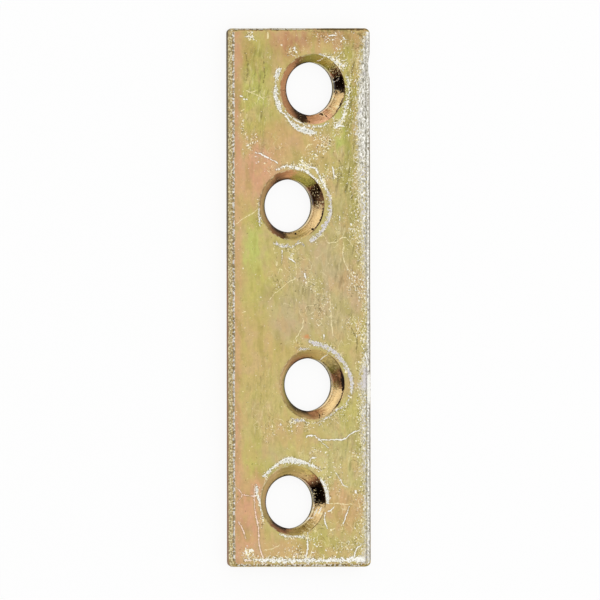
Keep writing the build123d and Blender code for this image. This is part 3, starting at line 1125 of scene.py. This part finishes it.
        # The bare zinc, then the scratches and the scrapes.
        frayed = self.right + swing(self.place, 1.0, 22, (1, 0.6, 1)) * 0.8 + coarse * 1.6
        colour = mix(remap(frayed, -0.35, 0.35), colour, self.bare_zinc())
        line_depth = lines + (coarse * 0.2 + crisp * 0.16 - 0.012)
        line_share = remap(line_depth, -0.03, 0.04) * 0.95
        blushing = remap(x, -3.0, -4.5) * remap(y, -17, -20)
        colour = mix(line_share, colour, mix(blushing, "scratch", "blush"))
        depth = self.scraped + (coarse * 0.45 + crisp * 0.35) * (1 + self.dulled * 0.3)
        scrape_share = remap(depth, -0.02, 0.06)
        colour = mix(scrape_share, colour, self.worn_metal(depth))
        # One small spot of rust above the third hole.
        rust_away = length(vector_of(x + coarse * 1.2 - 0.7, (y + 4.35) * 1.3))
        colour = mix(remap(rust_away, 0.46, 0.15, 0, 0.6), colour, "rust")
        bright = highest([line_share, scrape_share])
        roughness = 0.36 + self.mottle * 0.2 + bright * 0.14
        height = self.fine * 0.5 + self.streaks * 0.35 + self.mottle * 0.5
        height = height - bright * 0.35 + crumb_share * 0.3
        return self.link(colour, roughness, 0.9, height, 0.02)


class SeatFinish(Finish):
    """The pressed seats and the bores, tarnished in bands and streaked by the punch, with painted
    reflections, highlights and shade.
    """

    name = "pressed_seat"

    def __init__(self, colours):
        super().__init__(colours)
        self.fine = swing(self.place, 6.0, 41)
        self.mottle = swing(self.place, 1.8, 42, detail=3)
        self.ragged_z = self.z + self.fine * 0.2
        self.sparks = crumbs(self.place, 5.5, 57, spread(self.place, seat_sparks))

    def stops(self, tarnish_and_reflections, column):
        """The stops of a ramp round a hole, from a column of its tarnish and painted reflections."""
        return [(stop[0] / 360 + 0.5, self.colour(stop[column])) for stop in tarnish_and_reflections]

    def tarnish_and_reflections(self):
        """The bands of tarnish and of painted reflections. Also finds the lines that run out from the
        bores, those that run round them, and how far a place lies across and up from its hole."""
        x, y, fine, mottle = self.x, self.y, self.fine, self.mottle
        deep = remap(self.z + mottle * 0.5, 1.9, 1.1)
        colour = "straw"
        lines, streaks, across, up = [], [], [], []
        for hole, stops in enumerate(seat_tarnish_and_reflections):
            centre = hole_centres[hole]
            angle, distance = round_hole(x, y, centre + mouth_drift[hole], -180)
            here = remap(distance, 4.6, 4.5)
            turned = angle * (1 / 360) + (0.5 + mottle * 0.05 + fine * 0.06)
            # The ramps paint dark reflections and reflections of light along with the tarnish.
            by_mouth = ramp(turned, self.stops(stops, 1))
            by_bore = ramp(turned, self.stops(stops, 2))
            colour = self.mix(here, colour, self.mix(deep, by_mouth, by_bore))
            outward = swing(vector_of(angle * 0.2, distance * 0.6, centre.y), 1.0, 44)
            lines.append((outward * seat_roughness[hole] + 0.5) * here)
            around = vector_of(angle * 0.02, distance * 4.0, centre.y)
            streaks.append(grain(around, 1.0, 45) * here)
            across.append((x - centre.x) * here)
            up.append((y - centre.y) * here)
        self.lines, self.streaks, self.across = total(lines), total(streaks), total(across)
        self.right = remap(self.across, 0.5, 2.0)
        self.low_right = self.right * remap(total(up), 0.3, -0.5)
        return colour

    def polish_and_glints(self, colour):
        """The light and dark on the tarnish: the punch's streaks, painted as glints at the lower right,
        a painted lighter band on the left, sparks and specks.
        """
        fine, right, low_right, mix = self.fine, self.right, self.low_right, self.mix
        # Painted glints: the punch's lines brighten the seat only at its lower right.
        level = 1.02 + fine * 0.3 + (self.lines - 0.5) * low_right * 0.9
        level = level + (self.streaks - 0.5) * 0.9
        # A painted lighter band half way down the seat, on the left only.
        level = level + remap(abs(self.z - 1.6), 0.3, 0.05, 0, 0.16) * remap(self.across, 0, -1.5)
        speckle = swing(self.place, 4.4, 49)
        colour = brighten(colour, level + speckle * (right * 1.5 - low_right * 1.1))
        # Cream streaks, painted as glints at the lower right.
        streak_glints = remap(self.lines + fine * 0.2, 0.56, 0.64, 0, 0.8) * low_right
        colour = mix(streak_glints, colour, "cream")
        spark_colour = mix(remap(fine, -0.1, 0.1), "bronze", "cream")
        colour = mix(self.sparks, colour, spark_colour)
        away, pick, _ = cells(self.place, 2.6, 43)
        speck = remap(0.22 - away, 0.0, 0.08)
        colour = mix(speck * remap(pick, 0.86, 0.9), colour, "soot")
        light = speck * remap(pick, 0.2, 0.16)
        return mix(light * remap(self.across, -0.5, 1.0, 0.3, 0.9), colour, "cream")

    def rims(self, colour):
        """Painted shade on the left of each seat and a painted dark line at the bore on the left, dark
        lines at the mouth, and a painted highlight where the mouth catches the light at the left.
        """
        across, ragged_z, mix = self.across, self.ragged_z, self.mix
        # Painted shade: the left of each seat is darker.
        colour = mix(remap(across, 0.5, -2.5, 0, 0.22), colour, "shadow")
        # A painted dark line at the top of the bore, on the left only.
        brink = remap(ragged_z, 1.24, 1.14)
        colour = mix(brink * remap(across, 0.8, -0.4, 0, 0.85), colour, "soot")
        soft_z = self.z + self.mottle * 0.1
        # A faint painted dark line at the mouth, on the left only.
        outer_line = remap(soft_z, 1.88, 1.94) * remap(across, -0.5, -2.0, 0, 0.12)
        colour = mix(outer_line, colour, "shadow")
        dark_rim = remap(ragged_z, 1.86, 1.93) * remap(across, 1.4, 2.4)
        colour = mix(dark_rim * remap(self.mottle, -0.1, -0.02, 0.2, 0.75), colour, "bark")
        # A painted highlight where the mouth's edge catches the light at the left.
        caught = remap(soft_z, 1.82, 1.9) * remap(across, 0.5, -1.0)
        broken = remap(grain(self.place, 1.6, 48), 0.45, 0.55, 0, 0.6)
        return mix(caught * broken, colour, "cream")

    def marks(self, colour):
        """Pits, cracks and scratches."""
        jitter = self.fine * 0.25
        for lines, name in ((seat_pits, "soot"), (seat_scratches, "scratch")):
            depth = deepest(self.x + jitter, self.y, lines)
            colour = self.mix(remap(depth + jitter * 0.4, -0.03, 0.03), colour, name)
        return colour

    def build(self):
        """Lays the torn bore below the seat, with a painted highlight along its upper edge at the right
        and painted shade low in the bore.
        """
        place, fine, ragged_z, mix = self.place, self.fine, self.ragged_z, self.mix
        colour = self.marks(self.rims(self.polish_and_glints(self.tarnish_and_reflections())))
        across = self.across
        bore_top = remap(across, 0.6, 1.8, 1.05, 0.55)
        bore_share = remap(self.z - bore_top, 0.02, -0.03)
        torn = mix(remap(grain(place, 4.0, 46), 0.4, 0.6), "bore", "straw")
        colour = mix(bore_share, colour, brighten(torn, 1.0 + fine * 1.4))
        # A painted highlight along the top of the bore, on the right only.
        edge = remap(abs(ragged_z - bore_top + 0.03), 0.1, 0.04)
        edge = edge * remap(grain(place, 2.4, 47), 0.4, 0.52)
        colour = mix(edge * self.right * 0.8, colour, "cream")
        # Painted shade low in the bore, strongest on the left.
        low_bore_shade = remap(ragged_z, 0.5, 0.36) * remap(across, 2.4, 1.0, 0.7, 1)
        colour = mix(low_bore_shade, colour, "soot")
        roughness = remap(across, 1.5, -0.5, 0.22, 0.55) + self.mottle * 0.12
        roughness = roughness + bore_share * 0.3
        metallic = 0.95 - highest([self.sparks * 0.85, spread(place, seat_dull)])
        height = fine * 0.8 + self.mottle + self.lines * self.low_right * 1.2 + self.streaks * 0.5
        return self.link(colour, roughness, metallic, height, 0.03)


class WallFinish(Finish):
    """The rolled rim, silvery where it is rubbed, and the sheared walls below it."""

    name = "sheared_wall"

    def __init__(self, colours):
        super().__init__(colours)
        place = self.place
        self.mottle = swing(place, 2.0, 52, detail=3)
        self.fine = swing(place, 6.0, 51)
        self.speck = swing(place, 4.6, 53, (1, 1, 0.5))
        self.dark_speck = swing(place, 4.6, 56, (1, 1, 0.5))
        self.line_z = self.z + self.speck * 0.12

    def wall(self):
        """The sheared wall: gold with bright crumbs, and painted shade low down by the floor."""
        mottle, mix = self.mottle, self.mix
        colour = mix(remap(mottle, -0.1, 0.1), "gold", "straw")
        colour = mix(remap(self.dark_speck, 0, 0.1, 0, 0.7), colour, "dark")
        crumb = remap(self.speck, 0.02, 0.08) * remap(self.x, -7.9, -8.1, 0.4, 0.95)
        colour = mix(crumb, colour, "cream")
        # Painted shade: the wall darkens towards the floor.
        low_tone = mix(remap(self.y + mottle * 12, 8, 0, 0, 0.6), "shadow", "umber")
        return mix(remap(self.z + mottle * 0.3, 0.66, 0.5), colour, low_tone)

    def roll(self):
        """The roll. It takes the face's colour at its top, with a rubbed line below, and
        is bare zinc at the right, with painted shade along the outline and a painted highlight near y =
        -10 mm."""
        x, y, mottle, speck, mix = self.x, self.y, self.mottle, self.speck, self.mix
        colour = mix(remap(mottle, -0.08, 0.1), "pink", "tan")
        colour = mix(remap(x, -5, 5), colour, "zinc")
        rubbed = remap(self.line_z, 1.8, 1.84) * remap(self.line_z, 1.985, 1.965)
        line = mix(remap(mottle, -0.08, 0.1, 0.1, 0.5), "beige", "shadow")
        line = mix(remap(speck, -0.01, 0.05), line, "scratch")
        colour = mix(rubbed * remap(x, 5, -5), colour, line)
        bare = mix(remap(speck, -0.02, 0.06), "zinc", "scratch")
        bare = mix(remap(self.dark_speck, 0.04, 0.12, 0, 0.6), bare, "shadow")
        # A painted highlight: the bare rim reflects white near y = -10 mm.
        bare = mix(remap(abs(y + 10.2 + speck * 2), 1.9, 1.4, 0, 0.8), bare, "scratch")
        colour = mix(remap(x, 7, 7.5), colour, bare)
        # Painted shade along the right outline, left out under the painted highlight.
        outline = remap(x + speck * 0.16, 8.18, 8.26, 0, 0.75) * remap(abs(y + 10.2), 1.4, 1.9)
        return mix(outline, colour, "shadow")

    def ends(self):
        """The ends, with a dark outline and a pale worn line at the far one, and crumbs of
        bright metal at the near one."""
        x, y, mottle, speck, mix = self.x, self.y, self.mottle, self.speck, self.mix
        colour = mix(remap(mottle, -0.1, 0.1), "tan", "olive")
        colour = brighten(colour, 1.0 + self.fine * 0.8)
        wavy = y + speck * 0.25
        broken = remap(grain(self.place, 0.8, 55), 0.42, 0.5, 0.5, 0.95)
        colour = mix(remap(abs(wavy), 29.74, 29.86) * broken, colour, "shadow")
        pale_line = remap(wavy, 29.88, 29.96) * remap(x + mottle * 6, 2.5, -0.5)
        colour = mix(pale_line * remap(speck, -0.1, -0.02, 0.3, 0.95), colour, "zinc")
        near = remap(y, -29.0, -29.4)
        colour = mix(near * remap(self.dark_speck, 0.02, 0.12, 0, 0.4), colour, "shadow")
        return mix(near * remap(speck, 0, 0.08, 0, 0.6), colour, "scratch")

    def build(self):
        """Lays the roll and the ends over the wall."""
        at_end = remap(abs(self.y) + self.mottle * 0.3, 29.6, 29.7)
        rim = self.mix(at_end, self.roll(), self.ends())
        colour = self.mix(remap(self.line_z, 1.76, 1.82), self.wall(), rim)
        return self.link(colour, 0.42 + self.mottle * 0.2, 0.9, self.fine + self.speck, 0.04)


class BackFinish(Finish):
    """The back: the same passivation, less worn."""

    name = "passivated_back"

    def build(self):
        """Lays clouds, streaks, crumbs, flecks and scuffs over one another."""
        place, mix = self.place, self.mix
        moved = shift(wobble(place, 0.5, 64), (3.5, 3.5, 0), place)
        warm = remap(grain(moved, 0.16, 61, (1, 0.6, 1)), 0.4, 0.6)
        green = remap(grain(moved, 0.2, 62, (1, 0.5, 1)), 0.5, 0.64)
        colour = mix(green, mix(warm, "olive", "tan"), "green")
        streaks = swing(place, 5.0, 65, (1, 0.09, 1), 3)
        mottle = swing(place, 2.6, 66, detail=4)
        fine = swing(place, 9.0, 67)
        colour = brighten(colour, 0.95 + streaks * 0.3 + mottle * 0.3 + fine * 0.35)
        # Rubbed at the rims and in patches, where bright crumbs and dark ones show.
        rim = highest([remap(abs(self.x), 6.8, 7.9, 0, 0.8), remap(abs(self.y), 28.4, 29.7, 0, 0.8)])
        rubbed = rim + remap(grain(place, 0.4, 71), 0.46, 0.66, 0, 0.6)
        colour = mix(crumbs(place, 6.0, 73, rubbed) * 0.5, colour, "dark")
        colour = mix(crumbs(place, 6.0, 72, rubbed), colour, "cream")
        away, pick, size = cells(moved, 1.8, 68, (1, 1, 0))
        fleck = remap(size * 0.2 - away, 0, 0.06) * remap(pick, 0.7, 0.75)
        colour = mix(fleck, colour, "scratch")
        line = remap(abs(swing(place, 0.8, 69, detail=3)), 0.008, 0.0)
        scuff = line * remap(grain(place, 0.5, 70, detail=1), 0.5, 0.6)
        colour = mix(scuff * 0.8, colour, "cream")
        height = fine * 0.5 + streaks * 0.35 + mottle * 0.5
        return self.link(colour, 0.38 + mottle * 0.2, 0.9, height, 0.02)


class PLATE_OT_make_plate(bpy.types.Operator):
    """Makes the plate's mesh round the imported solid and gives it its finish"""

    bl_idname = "plate.make_plate"
    bl_label = "Make plate"
    bl_options = {"REGISTER", "UNDO"}

    def execute(self, context):
        sizes = context.scene.plate_sizes
        top = sizes.thickness
        half_x = sizes.width / 2 - sizes.rim
        half_y = sizes.length / 2 - sizes.rim
        bm = bmesh.new()
        bmesh.ops.create_grid(
            bm,
            x_segments=ceil(2 * half_x / sizes.pitch),
            y_segments=ceil(2 * half_y / sizes.pitch),
            size=1,
            matrix=Matrix.Translation((0, 0, top)) @ Matrix.Diagonal((half_x, half_y, 1, 1)),
        )
        gaps = hole_patches(bm, mouth_radius(sizes) + COLLAR)
        corners = [v for v in bm.verts if len(v.link_edges) == 2]
        bmesh.ops.bevel(
            bm,
            geom=corners,
            offset=sizes.corner - sizes.rim,
            segments=4,
            profile=0.5,
            affect="VERTICES",
            material=-1,
        )
        in_gaps = {e for gap in gaps for e in gap}
        outer = [e for e in bm.edges if len(e.link_faces) == 1 and e not in in_gaps]
        # The back is the same panel, turned over.
        panel = bm.verts[:] + bm.edges[:] + bm.faces[:]
        copy = bmesh.ops.duplicate(bm, geom=panel)["geom"]
        back_faces = [g for g in copy if isinstance(g, bmesh.types.BMFace)]
        back_verts = [g for g in copy if isinstance(g, bmesh.types.BMVert)]
        bmesh.ops.translate(bm, verts=back_verts, vec=(0, 0, -top))
        bmesh.ops.reverse_faces(bm, faces=back_faces)
        for face in back_faces:
            face.material_index = BACK
        for gap, centre, mouth, bore in zip(gaps, hole_centres, mouth_drift, bore_drift):
            line_hole(bm, gap, centre, seat_rings(sizes, mouth, bore))
        wrap_rim(bm, outer, sizes, rim_rings(sizes))
        bmesh.ops.remove_doubles(bm, verts=bm.verts[:], dist=1e-4)
        wear_mesh(bm, sizes)
        bmesh.ops.recalc_face_normals(bm, faces=bm.faces[:])
        bmesh.ops.scale(bm, vec=(MM,) * 3, verts=bm.verts[:])
        mesh = bpy.data.meshes.new("worn_plate")
        bm.to_mesh(mesh)
        bm.free()
        mesh.shade_smooth()
        colours = context.scene.finish_colours
        for finish in (FaceFinish, SeatFinish, WallFinish, BackFinish):
            mesh.materials.append(finish(colours).build())
        plate = bpy.data.objects.new("worn_plate", mesh)
        context.scene.collection.objects.link(plate)
        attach(plate, "root")
        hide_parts(NODE)
        return {"FINISHED"}


# ---------------------------------------------------------------------------
# The stage, in metres
# ---------------------------------------------------------------------------

CAMERA_DISTANCE = 0.3
CAMERA_RIGHT = 0.000585
CAMERA_DOWN = 0.00028
FLOOR_REACH = 2
FLOOR_DROP = 0.00002
LAMP_PLACE = Vector((0.25, 0.1, 0.5))
LAMP_SIZE = 0.5


def stage_piece(name, bm, material):
    """A mesh of the stage, which isn't part of the object."""
    mesh = bpy.data.meshes.new(name)
    bm.to_mesh(mesh)
    bm.free()
    mesh.materials.append(material)
    piece = bpy.data.objects.new(name, mesh)
    bpy.context.scene.collection.objects.link(piece)
    return piece


def looked_at(tree):
    """1 for rays from the camera, straight or by a reflection, and 0 for other light."""
    path = tree.nodes.new("ShaderNodeLightPath")
    rays = ("Is Camera Ray", "Is Glossy Ray", "Is Transmission Ray")
    return highest([Wire(path.outputs[ray]) for ray in rays])


def make_pale_ground():
    """White to the camera and in reflections, and plain matt paper under the shadow."""
    material = bpy.data.materials.new("pale_ground")
    material.use_nodes = True
    tree = material.node_tree
    tree.nodes.clear()
    paper = tree.nodes.new("ShaderNodeBsdfDiffuse")
    paper.inputs["Color"].default_value = (0.9, 0.9, 0.9, 1)
    glow = tree.nodes.new("ShaderNodeEmission")
    glow.inputs["Strength"].default_value = 1.04
    mix = tree.nodes.new("ShaderNodeMixShader")
    put(mix.inputs[0], looked_at(tree) * 0.85)
    tree.links.new(paper.outputs[0], mix.inputs[1])
    tree.links.new(glow.outputs[0], mix.inputs[2])
    out = tree.nodes.new("ShaderNodeOutputMaterial")
    tree.links.new(mix.outputs[0], out.inputs["Surface"])
    return material


def make_card_black():
    """Matt black card."""
    material = bpy.data.materials.new("black_card")
    material.use_nodes = True
    shader = material.node_tree.nodes["Principled BSDF"]
    shader.inputs["Base Color"].default_value = (0.01, 0.01, 0.01, 1)
    shader.inputs["Roughness"].default_value = 1
    shader.inputs["Specular IOR Level"].default_value = 0
    return material


def stand_card(name, material, radius, height, start=0, end=360):
    """A card that stands round the plate from one heading to another, in degrees. Only
    reflections see it, not the camera."""
    bm = bmesh.new()
    bmesh.ops.create_cone(
        bm,
        cap_ends=False,
        segments=64,
        radius1=radius,
        radius2=radius,
        depth=height,
        matrix=Matrix.Translation((0, 0, height / 2)),
    )
    unwanted = []
    for face in bm.faces:
        middle = face.calc_center_median()
        heading = degrees(atan2(middle.y, middle.x)) % 360
        if not start <= heading <= end:
            unwanted.append(face)
    bmesh.ops.delete(bm, geom=unwanted, context="FACES")
    stage_piece(name, bm, material).visible_camera = False


def add_camera(scene, stage):
    """The camera, which leans from straight above and frames the plate."""
    data = bpy.data.cameras.new("camera")
    data.type = "ORTHO"
    data.ortho_scale = stage.framed
    camera = bpy.data.objects.new("camera", data)
    scene.collection.objects.link(camera)
    away = Vector((-sin(stage.camera_turn), 0, cos(stage.camera_turn)))
    right = Vector((cos(stage.camera_turn), 0, sin(stage.camera_turn)))
    up = Vector((0, 1, 0))
    axes = Matrix((right, up, away)).transposed()
    camera.rotation_euler = (axes @ Matrix.Rotation(-stage.camera_roll, 3, "Z")).to_euler()
    camera.location = away * CAMERA_DISTANCE + right * CAMERA_RIGHT - up * CAMERA_DOWN
    scene.camera = camera


def add_lamp(scene, stage):
    """The large soft lamp overhead."""
    data = bpy.data.lights.new("key_lamp", "AREA")
    data.shape = "RECTANGLE"
    data.size = LAMP_SIZE
    data.size_y = LAMP_SIZE
    data.energy = stage.key_power
    lamp = bpy.data.objects.new("key_lamp", data)
    scene.collection.objects.link(lamp)
    lamp.location = LAMP_PLACE
    lamp.rotation_euler = (-lamp.location).to_track_quat("-Z", "Y").to_euler()
    lamp.visible_camera = False


def add_world(scene):
    """The world: white to the camera and in reflections, and dimmer as fill."""
    world = bpy.data.worlds.new("studio")
    scene.world = world
    world.use_nodes = True
    background = world.node_tree.nodes["Background"]
    put(background.inputs["Strength"], 0.8 + looked_at(world.node_tree) * 0.2)
    background.inputs["Color"].default_value = (1, 1, 1, 1)


class PLATE_OT_make_stage(bpy.types.Operator):
    """Makes the floor, the cards, the lamp, the world and the camera"""

    bl_idname = "plate.make_stage"
    bl_label = "Make stage"
    bl_options = {"REGISTER", "UNDO"}

    def execute(self, context):
        scene = context.scene
        stage = scene.stage_settings
        add_camera(scene, stage)
        # The floor, just under the plate.
        bm = bmesh.new()
        below = Matrix.Translation((0, 0, -FLOOR_DROP))
        bmesh.ops.create_grid(bm, x_segments=1, y_segments=1, size=FLOOR_REACH, matrix=below)
        stage_piece("floor", bm, make_pale_ground())
        # Dark cards that the polished seats reflect.
        black = make_card_black()
        stand_card("low_ring", black, radius=0.6, height=0.045)
        stand_card("tall_card", black, radius=0.5, height=0.33, start=174, end=236)
        add_lamp(scene, stage)
        add_world(scene)
        scene.view_settings.view_transform = "Standard"
        return {"FINISHED"}


class PLATE_PT_sidebar(bpy.types.Panel):
    """The plate's tools"""

    bl_idname = "PLATE_PT_sidebar"
    bl_label = "Mending plate"
    bl_space_type = "VIEW_3D"
    bl_region_type = "UI"
    bl_category = "Mending plate"

    def draw(self, context):
        for operator in (PLATE_OT_make_plate, PLATE_OT_make_stage):
            self.layout.operator(operator.bl_idname)


CLASSES = (
    PlateSizes,
    FinishColours,
    StageSettings,
    PLATE_OT_make_plate,
    PLATE_OT_make_stage,
    PLATE_PT_sidebar,
)


def register():
    for cls in CLASSES:
        bpy.utils.register_class(cls)
    bpy.types.Scene.plate_sizes = PointerProperty(type=PlateSizes)
    bpy.types.Scene.finish_colours = PointerProperty(type=FinishColours)
    bpy.types.Scene.stage_settings = PointerProperty(type=StageSettings)


def unregister():
    del bpy.types.Scene.stage_settings
    del bpy.types.Scene.finish_colours
    del bpy.types.Scene.plate_sizes
    for cls in reversed(CLASSES):
        bpy.utils.unregister_class(cls)


def main():
    register()
    bpy.ops.plate.make_plate()
    bpy.ops.plate.make_stage()


if __name__ == "__main__":
    main()
